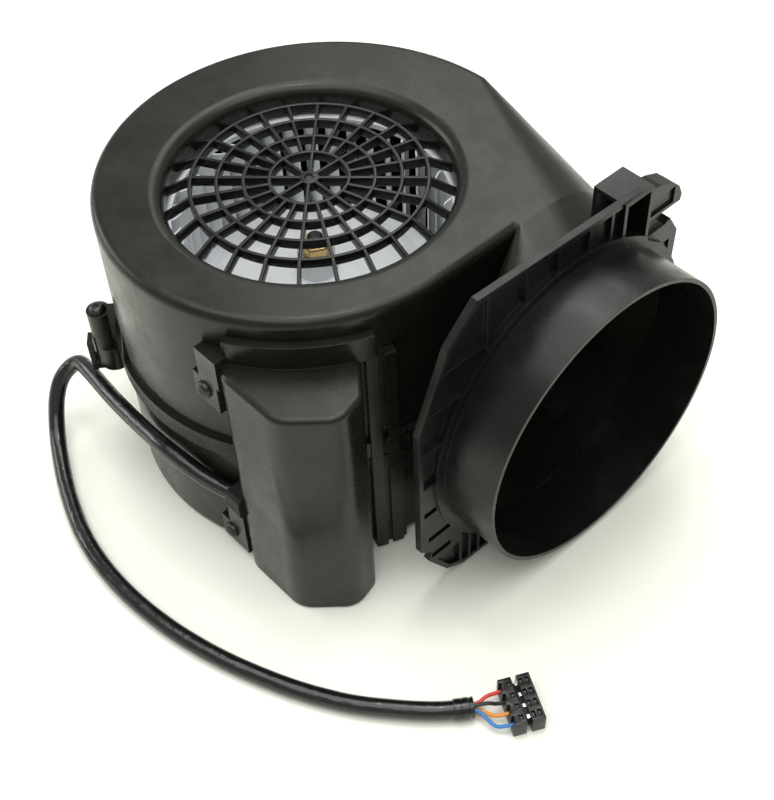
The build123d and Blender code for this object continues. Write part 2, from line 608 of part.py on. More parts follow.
socket_cavities = [connector_box((place - CAVITY_LENGTH / 2, place + CAVITY_LENGTH / 2),
                                 (CONNECTOR_PITCH + half_width - CAVITY_DEPTH, CONNECTOR_PITCH + half_width + 1),
                                 cavity_z) for place in CAVITY_PLACES]
contact_blades = [connector_box((place - 1.4, place + 1.4),
                                (CONNECTOR_PITCH + half_width - CAVITY_DEPTH, CONNECTOR_PITCH + half_width - 0.6),
                                (WIRE_HEIGHT - 0.4, WIRE_HEIGHT + 0.4)) for place in CAVITY_PLACES]

with BuildPart() as connector_plug:
    add(plug_body)
    fillet(edges().filter_by(Axis.Z), 0.8)
    add(plug_web)
    add(plug_latches)
    add(wire_holes, mode=Mode.SUBTRACT)
finish(connector_plug, "connector_plug")

with BuildPart() as connector_socket:
    add(socket_body)
    fillet(edges().filter_by(Axis.Z), 0.8)
    add(socket_cavities, mode=Mode.SUBTRACT)
finish(connector_socket, "connector_socket")

with BuildPart() as connector_contacts:
    add(contact_blades)
finish(connector_contacts, "connector_contacts")

cable_end = Vector(*cable_route[-1])
end_heading = (cable_end - Vector(*cable_route[-2])).normalized()
side_heading = Vector(0, 0, 1).cross(end_heading).normalized()
WIRE_SPREAD = 1.5


def wire_route(side, rise, slot, bow, dip):
    """Route of one wire from the sleeve's end to its slot in the plug."""
    start = cable_end + side_heading * side + Vector(0, 0, rise)
    straight = start + end_heading * 3.0
    slot_x = CAVITY_PLACES[slot]
    entry = connector_plane.from_local_coords(Vector(slot_x, -half_width + 3.0, WIRE_HEIGHT))
    before = connector_plane.from_local_coords(Vector(slot_x, -half_width - 2.6, WIRE_HEIGHT))
    middle = (straight + before) * 0.5 + side_heading * bow + Vector(0, 0, dip)
    return [tuple(start), tuple(straight), tuple(middle), tuple(before), tuple(entry)]


wires = {
    "wire_red": wire_route(WIRE_SPREAD, 0.0, 0, 0.8, 0.6),
    "wire_black": wire_route(0.0, WIRE_SPREAD, 1, 0.0, 1.8),
    "wire_orange": wire_route(0.0, -WIRE_SPREAD, 2, -1.5, -0.8),
    "wire_blue": wire_route(-WIRE_SPREAD, 0.0, 3, -3.6, -1.6),
}
wire_tubes = {label: tube(route, WIRE_RADIUS) for label, route in wires.items()}

with BuildPart() as wire_red:
    add(wire_tubes["wire_red"])
finish(wire_red, "wire_red")

with BuildPart() as wire_black:
    add(wire_tubes["wire_black"])
finish(wire_black, "wire_black")

with BuildPart() as wire_orange:
    add(wire_tubes["wire_orange"])
finish(wire_orange, "wire_orange")

with BuildPart() as wire_blue:
    add(wire_tubes["wire_blue"])
finish(wire_blue, "wire_blue")

# ---- tie round the end of the cable's sleeve -----------------------------------------------------
TIE_WIDTH = 3.6
TIE_THICKNESS = 0.9
tie_place = (Vector(*cable_route[-2]) + cable_end) * 0.5
tie_plane = Plane(origin=tie_place, x_dir=side_heading, z_dir=end_heading)
with BuildPart() as cable_tie:
    with BuildSketch(tie_plane):
        Circle(CABLE_RADIUS + BOUNDARY_GAP + TIE_THICKNESS)
        with Locations((0, CABLE_RADIUS + 1.6)):
            RectangleRounded(6.0, 4.6, 0.8)
        Circle(CABLE_RADIUS + BOUNDARY_GAP, mode=Mode.SUBTRACT)
    extrude(amount=TIE_WIDTH / 2, both=True)
finish(cable_tie, "cable_tie")

# ---- inside the box: run capacitor and terminal block --------------------------------------------
CAPACITOR_RADIUS = 12.5
CAPACITOR_PLACE = Vector(80.5, -71.5)
with BuildPart() as capacitor:
    with BuildSketch(Plane.XY.offset(38)):
        with Locations((CAPACITOR_PLACE.X, CAPACITOR_PLACE.Y)):
            Circle(CAPACITOR_RADIUS)
    extrude(amount=74)
    fillet(edges().filter_by(GeomType.CIRCLE), 1.2)
    with BuildSketch(Plane.XY.offset(30)):
        with Locations((CAPACITOR_PLACE.X, CAPACITOR_PLACE.Y)):
            Circle(4.0)
    extrude(amount=9)
finish(capacitor, "capacitor")

terminal_blank = box_between((53.0, 66.0), (-90.2, -82.6), (58.0, 92.0))
terminal_holes = [Pos(59.5, -88.0, 62.5 + 8.4 * row) * Rot(90, 0, 0) * Cylinder(1.8, 6.0) for row in range(4)]
with BuildPart() as terminal_block:
    add(terminal_blank)
    add(terminal_holes, mode=Mode.SUBTRACT)
finish(terminal_block, "terminal_block")

# ---- motor: two pressed shields, stator, windings, bearings --------------------------------------
MOTOR_MIDDLE = 50.0
SHIELD_RADIUS = 43.0
SHIELD_BOTTOM = 18.0
SHIELD_RIM = 36.0
SHIELD_METAL = 2.5
BEARING_SEAT = 11.0
BEARING_HEIGHT = 7.0
RUNNING_GAP = 0.05
motor_plane = Plane.XY.offset(MOTOR_MIDDLE)

with BuildPart() as motor_lower_shield:
    with BuildSketch(Plane.XZ):
        Polygon((BEARING_SEAT - 5.5, SHIELD_BOTTOM), (SHIELD_RADIUS, SHIELD_BOTTOM), (SHIELD_RADIUS, SHIELD_RIM),
                (SHIELD_RADIUS - SHIELD_METAL, SHIELD_RIM), (SHIELD_RADIUS - SHIELD_METAL, 20.5), (13.5, 20.5),
                (13.5, 26.0), (BEARING_SEAT, 26.0), (BEARING_SEAT, 19.0), (BEARING_SEAT - 5.5, 19.0), align=None)
    revolve(axis=Axis.Z)
    with PolarLocations(MOUNT_CIRCLE, MOUNT_COUNT):
        Cylinder(SCREW_RADIUS, 6 * CARRIER_TOP, mode=Mode.SUBTRACT)
finish(motor_lower_shield, "motor_lower_shield")

with BuildPart() as motor_upper_shield:
    with BuildSketch(Plane.XZ):
        Polygon((BEARING_SEAT - 5.5, 82.0), (BEARING_SEAT - 5.5, 81.0), (BEARING_SEAT, 81.0), (BEARING_SEAT, 74.0),
                (13.5, 74.0), (13.5, 79.5), (SHIELD_RADIUS - SHIELD_METAL, 79.5), (SHIELD_RADIUS - SHIELD_METAL, 64.0),
                (SHIELD_RADIUS, 64.0), (SHIELD_RADIUS, 82.0), align=None)
    revolve(axis=Axis.Z)
finish(motor_upper_shield, "motor_upper_shield")

STATOR_SLOTS = 12
with BuildPart() as stator_core:
    with BuildSketch(Plane.XY.offset(SHIELD_RIM)):
        Circle(STATOR_RADIUS)
        Circle(STATOR_BORE, mode=Mode.SUBTRACT)
        with PolarLocations(31.5, STATOR_SLOTS):
            Rectangle(11.0, 7.0, mode=Mode.SUBTRACT)
    extrude(amount=2 * (MOTOR_MIDDLE - SHIELD_RIM))
finish(stator_core, "stator_core")

with BuildPart() as stator_windings:
    for bottom in (26.5, 64.0):
        with BuildSketch(Plane.XY.offset(bottom)):
            Circle(38.0)
            Circle(25.0, mode=Mode.SUBTRACT)
        extrude(amount=9.5)
    with BuildSketch(Plane.XY.offset(SHIELD_RIM)):
        with PolarLocations(31.5, STATOR_SLOTS):
            Rectangle(10.4, 6.4)
    extrude(amount=2 * (MOTOR_MIDDLE - SHIELD_RIM))
finish(stator_windings, "stator_windings")


with BuildPart() as lower_bearing:
    with BuildSketch(Plane.XY.offset(19.0)):
        Circle(BEARING_SEAT)
        Circle(SHAFT_RADIUS + RUNNING_GAP, mode=Mode.SUBTRACT)
    extrude(amount=BEARING_HEIGHT)
finish(lower_bearing, "lower_bearing")

with BuildPart() as upper_bearing:
    with BuildSketch(Plane.XY.offset(74.0)):
        Circle(BEARING_SEAT)
        Circle(SHAFT_RADIUS + RUNNING_GAP, mode=Mode.SUBTRACT)
    extrude(amount=BEARING_HEIGHT)
finish(upper_bearing, "upper_bearing")

with BuildPart() as rubber_mounts:
    with BuildSketch(Plane.XY.offset(CARRIER_TOP)):
        with PolarLocations(MOUNT_CIRCLE, MOUNT_COUNT):
            Circle(6.0)
            Circle(SCREW_RADIUS + 0.1, mode=Mode.SUBTRACT)
    extrude(amount=SHIELD_BOTTOM - CARRIER_TOP)
finish(rubber_mounts, "rubber_mounts")

with BuildPart() as motor_screws:
    with BuildSketch(Plane.XY.offset(CARRIER_BOTTOM - SCREW_HEAD_HEIGHT)):
        with PolarLocations(MOUNT_CIRCLE, MOUNT_COUNT):
            Circle(SCREW_HEAD_RADIUS)
    extrude(amount=SCREW_HEAD_HEIGHT)
    fillet(faces().sort_by(Axis.Z)[0:MOUNT_COUNT].edges(), 0.8)
    with BuildSketch(Plane.XY.offset(CARRIER_BOTTOM)):
        with PolarLocations(MOUNT_CIRCLE, MOUNT_COUNT):
            Circle(SCREW_RADIUS - BOUNDARY_GAP)
    extrude(amount=SHIELD_BOTTOM + SHIELD_METAL - CARRIER_BOTTOM)
finish(motor_screws, "motor_screws")

# ---- rotor: core, shaft, impeller, washer and nut ------------------------------------------------
SHAFT_BOTTOM = 14.5
SHAFT_TOP = 124.0
with BuildPart() as rotor_core:
    with BuildSketch(Plane.XY.offset(37.0)):
        Circle(STATOR_BORE - 0.6)
        Circle(SHAFT_RADIUS, mode=Mode.SUBTRACT)
    extrude(amount=26.0)
finish(rotor_core, "rotor_core")

with BuildPart() as motor_shaft:
    with BuildSketch(Plane.XY.offset(SHAFT_BOTTOM)):
        Circle(SHAFT_RADIUS)
    extrude(amount=SHAFT_TOP - SHAFT_BOTTOM)
    fillet(faces().sort_by(Axis.Z)[-1].edges(), 2.2)
finish(motor_shaft, "motor_shaft")

BLADE_INNER = 60.0
BLADE_OUTER = 69.0
BLADE_THICKNESS = 1.1
BLADE_SWEEP = 5.0             # degrees from a blade's inner to its outer edge
BLADE_CURVE = 1.6
BLADE_START = 2.3             # bearing of the first blade, in degrees
RING_INNER = 64.0
RING_HEIGHT = 2.6
HUB_RADIUS = 10.0
HUB_BOTTOM = 90.0
HUB_TOP = 112.0
DISC_RIM_RADIUS = BLADE_INNER - BOUNDARY_GAP
thickness_angle = math.degrees(BLADE_THICKNESS / BLADE_INNER)
with BuildSketch() as blade:
    with BuildLine():
        front = SagittaArc(polar(BLADE_INNER, 0), polar(BLADE_OUTER, BLADE_SWEEP), BLADE_CURVE)
        back = SagittaArc(polar(BLADE_INNER, thickness_angle), polar(BLADE_OUTER, BLADE_SWEEP + thickness_angle), BLADE_CURVE)
        Line(front @ 0, back @ 0)
        Line(front @ 1, back @ 1)
    make_face()
blade_ring = [blade.sketch.rotate(Axis.Z, BLADE_START + step * 360 / BLADE_COUNT) for step in range(BLADE_COUNT)]
impeller_floor = Plane.XY.offset(IMPELLER_BOTTOM + RING_HEIGHT)

with BuildPart() as impeller_disc:
    with BuildSketch(Plane.XZ):
        Polygon((SHAFT_RADIUS, HUB_BOTTOM), (HUB_RADIUS, HUB_BOTTOM), (HUB_RADIUS, 100.0), (54.0, 89.5),
                (DISC_RIM_RADIUS, 89.5), (DISC_RIM_RADIUS, 91.7), (54.0, 91.7), (HUB_RADIUS, 103.0),
                (HUB_RADIUS, HUB_TOP), (SHAFT_RADIUS, HUB_TOP), align=None)
    revolve(axis=Axis.Z)
finish(impeller_disc, "impeller_disc")

with BuildPart() as impeller_rings:
    for bottom in (IMPELLER_BOTTOM, IMPELLER_TOP - RING_HEIGHT):
        with BuildSketch(Plane.XY.offset(bottom)):
            Circle(IMPELLER_RADIUS)
            Circle(RING_INNER, mode=Mode.SUBTRACT)
        extrude(amount=RING_HEIGHT)
finish(impeller_rings, "impeller_rings")

with BuildPart() as impeller_blades:
    with BuildSketch(impeller_floor) as blade_plan:
        add(blade_ring)
    extrude(amount=IMPELLER_TOP - IMPELLER_BOTTOM - 2 * RING_HEIGHT)
finish(impeller_blades, "impeller_blades")

WASHER_TOP = HUB_TOP + 1.4
NUT_ACROSS_FLATS = 13.0
with BuildPart() as washer:
    with BuildSketch(Plane.XY.offset(HUB_TOP)):
        Circle(9.0)
        Circle(SHAFT_RADIUS, mode=Mode.SUBTRACT)
    extrude(amount=WASHER_TOP - HUB_TOP)
finish(washer, "washer")

with BuildPart() as brass_nut:
    with BuildSketch(Plane.XY.offset(WASHER_TOP)):
        RegularPolygon(NUT_ACROSS_FLATS / 2, 6, major_radius=False)
        Circle(SHAFT_RADIUS, mode=Mode.SUBTRACT)
    extrude(amount=6.5)
    chamfer(faces().sort_by(Axis.Z)[-1].outer_wire().edges(), 0.7)
finish(brass_nut, "brass_nut")

# ---- screws that hold the shells and the cover ---------------------------------------------------
tower_centres = [polar(wall_radius(angle) + TOWER_STAND_OFF, angle) for angle in TOWER_ANGLES]
with BuildPart() as seam_screws:
    for centre in tower_centres:
        with BuildSketch(Plane.XY.offset(TOWER_TOP)):
            with Locations((centre.X, centre.Y)):
                Circle(SCREW_HEAD_RADIUS)
        extrude(amount=SCREW_HEAD_HEIGHT)
        with BuildSketch(Plane.XY.offset(TOWER_BOTTOM + 4.0)):
            with Locations((centre.X, centre.Y)):
                Circle(SCREW_RADIUS)
        extrude(amount=TOWER_TOP - TOWER_BOTTOM - 4.0)
finish(seam_screws, "seam_screws")

cover_heads = [place * Pos(0, 0, SCREW_HEAD_HEIGHT / 2) * Cylinder(SCREW_HEAD_RADIUS, SCREW_HEAD_HEIGHT)
               for place in cover_screw_places]
cover_shanks = [screw_shank(place, SHANK_REACH - 2.0) for place in cover_screw_places]
with BuildPart() as cover_screws:
    add(cover_heads)
    add(cover_shanks)
finish(cover_screws, "cover_screws")
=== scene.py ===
"""Looks for the extractor fan: camera, lights, cable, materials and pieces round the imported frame."""
import math

import bmesh
import bpy
from mathutils import Matrix, Vector


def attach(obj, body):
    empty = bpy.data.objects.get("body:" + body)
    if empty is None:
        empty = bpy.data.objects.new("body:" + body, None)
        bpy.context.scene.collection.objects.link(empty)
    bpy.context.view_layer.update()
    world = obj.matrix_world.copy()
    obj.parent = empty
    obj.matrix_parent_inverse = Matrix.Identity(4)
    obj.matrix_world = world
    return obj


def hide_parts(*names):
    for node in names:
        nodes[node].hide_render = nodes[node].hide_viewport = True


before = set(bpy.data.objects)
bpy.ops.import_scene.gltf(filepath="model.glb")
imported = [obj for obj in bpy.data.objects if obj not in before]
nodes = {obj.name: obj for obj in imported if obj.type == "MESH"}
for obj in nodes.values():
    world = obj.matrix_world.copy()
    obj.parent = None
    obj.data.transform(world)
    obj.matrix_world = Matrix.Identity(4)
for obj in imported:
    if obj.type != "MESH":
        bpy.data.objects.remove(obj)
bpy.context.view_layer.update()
MM = 0.001

# ---- camera -------------------------------------------------------------------------------------
# These values come from a camera fitted numerically to the outlines in the reference picture.
CAMERA_AZIMUTH = math.radians(49.295)
CAMERA_ELEVATION = math.radians(48.883)
CAMERA_ROLL = math.radians(-2.757)
CAMERA_PLACE = Vector((0.38168, -0.28893, 0.55195))
CAMERA_LENS = 61.66
CAMERA_SENSOR = 36


def make_camera():
    """Camera at the viewing angle: azimuth round Z, elevation above the floor, a small roll."""
    right = Vector((math.cos(CAMERA_AZIMUTH), math.sin(CAMERA_AZIMUTH), 0))
    back = Vector((math.sin(CAMERA_AZIMUTH) * math.cos(CAMERA_ELEVATION),
                   -math.cos(CAMERA_AZIMUTH) * math.cos(CAMERA_ELEVATION), math.sin(CAMERA_ELEVATION)))
    up = back.cross(right)
    rolled_right = right * math.cos(CAMERA_ROLL) + up * math.sin(CAMERA_ROLL)
    rolled_up = up * math.cos(CAMERA_ROLL) - right * math.sin(CAMERA_ROLL)
    data = bpy.data.cameras.new("camera")
    data.sensor_fit = "VERTICAL"
    data.sensor_height = CAMERA_SENSOR
    data.lens = CAMERA_LENS
    data.clip_start = 0.01
    data.clip_end = 20
    camera = bpy.data.objects.new("camera", data)
    bpy.context.scene.collection.objects.link(camera)
    turn = Matrix((rolled_right, rolled_up, back)).transposed().to_4x4()
    camera.matrix_world = Matrix.Translation(CAMERA_PLACE) @ turn
    bpy.context.scene.camera = camera


make_camera()

# ---- helpers ------------------------------------------------------------------------------------


def millimetres(points):
    """Points in metres from points in millimetres."""
    return [Vector(point) * MM for point in points]


def link(name, data):
    """New object in the scene."""
    piece = bpy.data.objects.new(name, data)
    bpy.context.scene.collection.objects.link(piece)
    return piece


def smooth_line(name, points, radius, ring=6):
    """Round bar along a NURBS spline with these points in millimetres as its control points."""
    data = bpy.data.curves.new(name, "CURVE")
    data.dimensions = "3D"
    data.bevel_depth = radius * MM
    data.bevel_resolution = ring
    data.resolution_u = 24
    data.use_fill_caps = True
    spline = data.splines.new("NURBS")
    spline.points.add(len(points) - 1)
    for target, point in zip(spline.points, millimetres(points)):
        target.co = (*point, 1)
    spline.order_u = 3
    spline.use_endpoint_u = True
    return link(name, data)


# ---- materials ----------------------------------------------------------------------------------


class Recipe:
    """Node material under construction: a shader with helpers for procedural inputs."""

    def __init__(self, name, colour, roughness, metallic=0.0):
        self.material = bpy.data.materials.new(name)
        self.material.use_nodes = True
        self.tree = self.material.node_tree
        self.shader = self.tree.nodes["Principled BSDF"]
        self.shader.inputs["Base Color"].default_value = (*colour, 1)
        self.shader.inputs["Roughness"].default_value = roughness
        self.shader.inputs["Metallic"].default_value = metallic
        self.place = self.tree.nodes.new("ShaderNodeTexCoord").outputs["Object"]
        self.normal = None           # the last normal made, which the next bump starts from

    def soften(self, radius):
        """Round the sharp edges in the shading, by this radius in metres."""
        node = self.tree.nodes.new("ShaderNodeBevel")
        node.samples = 4
        node.inputs["Radius"].default_value = radius
        self.normal = node.outputs["Normal"]
        self.tree.links.new(self.normal, self.shader.inputs["Normal"])
        return self

    def set(self, socket, value):
        """Constant value on the shader's own socket."""
        self.shader.inputs[socket].default_value = value
        return self

    def noise(self, scale, detail=4.0, roughness=0.55, distortion=0.0, stretch=(1, 1, 1)):
        """Noise value, with scale in features per metre."""
        mapping = self.tree.nodes.new("ShaderNodeMapping")
        mapping.inputs["Scale"].default_value = stretch
        self.tree.links.new(self.place, mapping.inputs["Vector"])
        node = self.tree.nodes.new("ShaderNodeTexNoise")
        node.inputs["Scale"].default_value = scale
        node.inputs["Detail"].default_value = detail
        node.inputs["Roughness"].default_value = roughness
        node.inputs["Distortion"].default_value = distortion
        self.tree.links.new(mapping.outputs["Vector"], node.inputs["Vector"])
        return node.outputs["Fac"]

    def spread(self, value, low, high, start=0.35, end=0.65):
        """Value mapped from start..end to low..high."""
        node = self.tree.nodes.new("ShaderNodeMapRange")
        for socket, number in (("From Min", start), ("From Max", end), ("To Min", low), ("To Max", high)):
            node.inputs[socket].default_value = number
        self.tree.links.new(value, node.inputs["Value"])
        return node.outputs["Result"]

    def blend(self, value, first, second, start=0.35, end=0.65):
        """Colour between two colours, by a value."""
        node = self.tree.nodes.new("ShaderNodeValToRGB")
        node.color_ramp.elements[0].position = start
        node.color_ramp.elements[1].position = end
        node.color_ramp.elements[0].color = (*first, 1)
        node.color_ramp.elements[1].color = (*second, 1)
        self.tree.links.new(value, node.inputs["Fac"])
        return node.outputs["Color"]

    def feed(self, socket, output):
        """Procedural value into a socket of the shader."""
        self.tree.links.new(output, self.shader.inputs[socket])
        return self

    def bump(self, height, depth, strength=1.0):
        """Add a bump of this depth in metres on top of the ones before it."""
        node = self.tree.nodes.new("ShaderNodeBump")
        node.inputs["Distance"].default_value = depth
        node.inputs["Strength"].default_value = strength
        self.tree.links.new(height, node.inputs["Height"])
        if self.normal is not None:
            self.tree.links.new(self.normal, node.inputs["Normal"])
        self.normal = node.outputs["Normal"]
        self.tree.links.new(self.normal, self.shader.inputs["Normal"])
        return self


def plastic(name, dark, light, roughness, grain=0.00002, scuffs=True, specular=0.5, edge=0.0004):
    """Moulded plastic: cloudy colour, fine grain, smoother patches, faint scuffs and softened edges."""
    recipe = Recipe(name, dark, roughness)
    recipe.set("Specular IOR Level", specular)
    if edge:
        recipe.soften(edge)
    clouds = recipe.noise(22, 5)
    recipe.feed("Base Color", recipe.blend(clouds, dark, light))
    patches = recipe.noise(60, 6, 0.65)
    recipe.feed("Roughness", recipe.spread(patches, roughness - 0.06, roughness + 0.09))
    recipe.bump(recipe.noise(2600, 2), grain)
    if scuffs:
        recipe.bump(recipe.noise(35, 2, 0.5, 0.4, (1, 1, 0.35)), 0.0003, 0.25)
    return recipe.material


def sleeve(name, dark, light, roughness):
    """Glossy shrink sleeve over a bundle of leads: soft creases across it and flats along it."""
    recipe = Recipe(name, dark, roughness)
    recipe.set("Specular IOR Level", 0.55)
    recipe.feed("Base Color", recipe.blend(recipe.noise(40, 4), dark, light))
    recipe.feed("Roughness", recipe.spread(recipe.noise(150, 4), roughness - 0.05, roughness + 0.12))
    recipe.bump(recipe.noise(70, 2, 0.5, 0.8), 0.0011, 0.6)
    recipe.bump(recipe.noise(420, 2, 0.5, 0.3), 0.0001, 0.5)
    return recipe.material


def metal(name, dark, light, roughness, grain_stretch=(1, 1, 1)):
    """Metal with fine tool marks and a slightly uneven polish."""
    recipe = Recipe(name, light, roughness, 1.0)
    recipe.feed("Base Color", recipe.blend(recipe.noise(180, 4), dark, light))
    recipe.feed("Roughness", recipe.spread(recipe.noise(500, 3), roughness - 0.05, roughness + 0.1))
    recipe.bump(recipe.noise(1500, 3, 0.6, 0.0, grain_stretch), 0.00003, 0.6)
    return recipe.material


housing_black = plastic("housing_black", (0.0066, 0.0078, 0.0052), (0.0108, 0.0122, 0.0086), 0.27,
                        specular=0.31)
flange_black = plastic("flange_black", (0.0042, 0.0047, 0.0040), (0.0072, 0.0078, 0.0066), 0.29,
                       specular=0.32)
grille_black = plastic("grille_black", (0.0045, 0.0050, 0.0042), (0.0075, 0.0080, 0.0068), 0.25, scuffs=False,
                       specular=0.32, edge=0)
impeller_white = plastic("impeller_white", (0.76, 0.79, 0.83), (0.84, 0.86, 0.88), 0.42, scuffs=False, edge=0)
rubber_black = plastic("rubber_black", (0.006, 0.006, 0.006), (0.011, 0.011, 0.011), 0.55, 0.00004,
                       scuffs=False, specular=0.3)
sleeve_black = sleeve("sleeve_black", (0.0050, 0.0050, 0.0055), (0.0095, 0.0095, 0.0105), 0.17)
connector_black = plastic("connector_black", (0.007, 0.007, 0.007), (0.012, 0.012, 0.012), 0.3, scuffs=False,
                          specular=0.4, edge=0.0002)
case_white = plastic("case_white", (0.62, 0.62, 0.58), (0.7, 0.7, 0.66), 0.3, scuffs=False)
brass = metal("brass", (0.56, 0.38, 0.14), (0.80, 0.60, 0.27), 0.28)
steel = metal("steel", (0.32, 0.32, 0.32), (0.55, 0.55, 0.54), 0.32)
dark_steel = metal("dark_steel", (0.035, 0.035, 0.035), (0.075, 0.075, 0.073), 0.33)
aluminium = metal("aluminium", (0.55, 0.55, 0.56), (0.72, 0.72, 0.73), 0.38)
copper = metal("copper", (0.55, 0.22, 0.10), (0.75, 0.36, 0.2), 0.3, (1, 1, 12))
laminations = metal("laminations", (0.25, 0.25, 0.26), (0.45, 0.45, 0.46), 0.45, (0.1, 0.1, 6))
tin = metal("tin", (0.6, 0.6, 0.6), (0.85, 0.85, 0.86), 0.2)
wire_paints = {
    "wire_red": ((0.55, 0.035, 0.02), (0.68, 0.06, 0.04)),
    "wire_black": ((0.012, 0.012, 0.012), (0.02, 0.02, 0.02)),
    "wire_orange": ((0.75, 0.25, 0.03), (0.85, 0.34, 0.06)),
    "wire_blue": ((0.03, 0.16, 0.45), (0.05, 0.24, 0.6)),
}
wire_materials = {name: plastic(name, dark, light, 0.35, 0.00001, False)
                  for name, (dark, light) in wire_paints.items()}

node_materials = {
    "upper_shell": housing_black, "lower_shell": housing_black, "terminal_cover": housing_black,
    "carrier_ring": housing_black, "carrier_arms": housing_black,
    "outlet_flange": flange_black, "inlet_grille": grille_black, "impeller_disc": impeller_white,
    "impeller_rings": impeller_white, "impeller_blades": impeller_white,
    "cable_grommet": rubber_black, "rubber_mounts": rubber_black, "capacitor": case_white,
    "terminal_block": case_white, "motor_lower_shield": aluminium, "motor_upper_shield": aluminium,
    "stator_core": laminations, "rotor_core": laminations, "stator_windings": copper,
    "lower_bearing": steel, "upper_bearing": steel, "motor_screws": steel, "motor_shaft": dark_steel,
    "washer": steel, "brass_nut": brass, "seam_screws": dark_steel, "cover_screws": dark_steel,
    "cable": sleeve_black, "cable_tie": connector_black, "connector_plug": connector_black,
    "connector_socket": connector_black, "connector_contacts": tin, **wire_materials,
}
for name, material in node_materials.items():
    mesh = nodes[name].data
    mesh.materials.clear()
    mesh.materials.append(material)

# ---- cable, tie, wires and connector ------------------------------------------------------------
CABLE_RADIUS = 4.2
WIRE_RADIUS = 0.9
# Repeats part.py. Most points began as places in the reference picture, projected by that camera.
cable_route = [
    (55.0, -81.0, 39.5), (42.5, -88.0, 43.2), (27.0, -95.2, 48.0), (14.0, -99.0, 53.0), (0.0, -100.6, 54.4),
    (-18.0, -99.6, 50.6), (-49.0, -96.8, 44.8), (-76.0, -93.4, 42.2), (-90.0, -91.7, 38.2),
    (-94.5, -100.6, 30.2), (-91.6, -108.0, 22.2), (-87.2, -113.2, 14.2), (-77.2, -120.6, 7.2),
    (-57.1, -131.0, 4.35), (-40.6, -137.8, 4.25), (-20.1, -144.6, 4.25), (2.0, -148.1, 4.25),
    (25.3, -148.6, 4.25), (49.4, -146.0, 4.25), (69.8, -141.5, 4.25), (85.6, -136.7, 4.25),
    (97.3, -132.3, 4.25), (113.1, -125.7, 4.3), (127.2, -118.4, 4.5), (140.8, -110.2, 4.8),
    (152.4, -101.0, 5.1), (163.4, -91.4, 5.3), (172.2, -82.4, 5.3), (178.6, -73.3, 5.3),
]
cable = smooth_line("sleeved_cable", cable_route, CABLE_RADIUS, 8)
cable.data.materials.append(sleeve_black)
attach(cable, "housing")
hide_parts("cable")

cable_end = Vector(cable_route[-1])
end_heading = (cable_end - Vector(cable_route[-2])).normalized()
side_heading = Vector((0, 0, 1)).cross(end_heading).normalized()
CONNECTOR_HEADING = math.radians(-27)
CONNECTOR_PLACE = Vector((190.3, -60.2, 0))
CONNECTOR_HALF_WIDTH = 3.1
WIRE_HEIGHT = 5.0
CAVITY_PLACES = (-8.4, -2.8, 2.8, 8.4)
WIRE_SPREAD = 1.5


def on_connector(along, across, height):
    """Point in the shared frame, in millimetres, from the connector's own frame."""
    along_axis = Vector((math.cos(CONNECTOR_HEADING), math.sin(CONNECTOR_HEADING), 0))
    across_axis = Vector((0, 0, 1)).cross(along_axis)
    return CONNECTOR_PLACE + along_axis * along + across_axis * across + Vector((0, 0, height))


def wire_route(side, rise, slot, bow, dip):
    """Route of one wire from the sleeve's end to its slot in the plug."""
    start = cable_end + side_heading * side + Vector((0, 0, rise))
    straight = start + end_heading * 3.0
    entry = on_connector(CAVITY_PLACES[slot], -CONNECTOR_HALF_WIDTH + 3.0, WIRE_HEIGHT)
    before = on_connector(CAVITY_PLACES[slot], -CONNECTOR_HALF_WIDTH - 2.6, WIRE_HEIGHT)
    middle = (straight + before) * 0.5 + side_heading * bow + Vector((0, 0, dip))
    return [start, straight, middle, before, entry]


wire_shapes = {
    "wire_red": (WIRE_SPREAD, 0.0, 0, 0.8, 0.6),
    "wire_black": (0.0, WIRE_SPREAD, 1, 0.0, 1.8),
    "wire_orange": (0.0, -WIRE_SPREAD, 2, -1.5, -0.8),
    "wire_blue": (-WIRE_SPREAD, 0.0, 3, -3.6, -1.6),
}
for name, shape in wire_shapes.items():
    wire = smooth_line(name + "_lead", wire_route(*shape), WIRE_RADIUS, 4)
    wire.data.materials.append(wire_materials[name])
    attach(wire, "housing")
    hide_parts(name)

# ---- mesh building ------------------------------------------------------------------------------


def add_box(shape, x_limits, y_limits, z_limits, place=None):
    """Box in millimetres added to a bmesh, through an optional placing function."""
    corners = []
    for z in z_limits:
        for x, y in ((0, 0), (1, 0), (1, 1), (0, 1)):
            point = Vector((x_limits[x], y_limits[y], z))
            corners.append(shape.verts.new((place(*point) if place else point) * MM))
    for face in ((3, 2, 1, 0), (4, 5, 6, 7), (0, 1, 5, 4), (1, 2, 6, 5), (2, 3, 7, 6), (3, 0, 4, 7)):
        shape.faces.new([corners[index] for index in face])


def add_lathe(shape, profile, axis_place=(0, 0, 0), turn=None, steps=96):
    """Solid of revolution round a local Z axis, from a closed loop of (radius, height) in millimetres."""
    base = Vector(axis_place)
    rings = []
    for radius, height in profile:
        if radius < 1e-6:
            point = Vector((0, 0, height))
            point = (turn @ point if turn else point) + base
            rings.append([shape.verts.new(point * MM)])
            continue
        ring = []
        for step in range(steps):
            angle = 2 * math.pi * step / steps
            point = Vector((radius * math.cos(angle), radius * math.sin(angle), height))
            point = (turn @ point if turn else point) + base
            ring.append(shape.verts.new(point * MM))
        rings.append(ring)
    pairs = list(zip(rings, rings[1:]))
    if len(rings[0]) > 1 and len(rings[-1]) > 1:
        pairs.append((rings[-1], rings[0]))
    for low, high in pairs:
        for step in range(steps):
            after = (step + 1) % steps
            if len(low) == 1 and len(high) == 1:
                break            # both ends lie on the axis, so there is no face between them
            if len(low) == 1:
                shape.faces.new((low[0], high[after], high[step]))
            elif len(high) == 1:
                shape.faces.new((low[step], low[after], high[0]))
            else:
                shape.faces.new((low[step], low[after], high[after], high[step]))


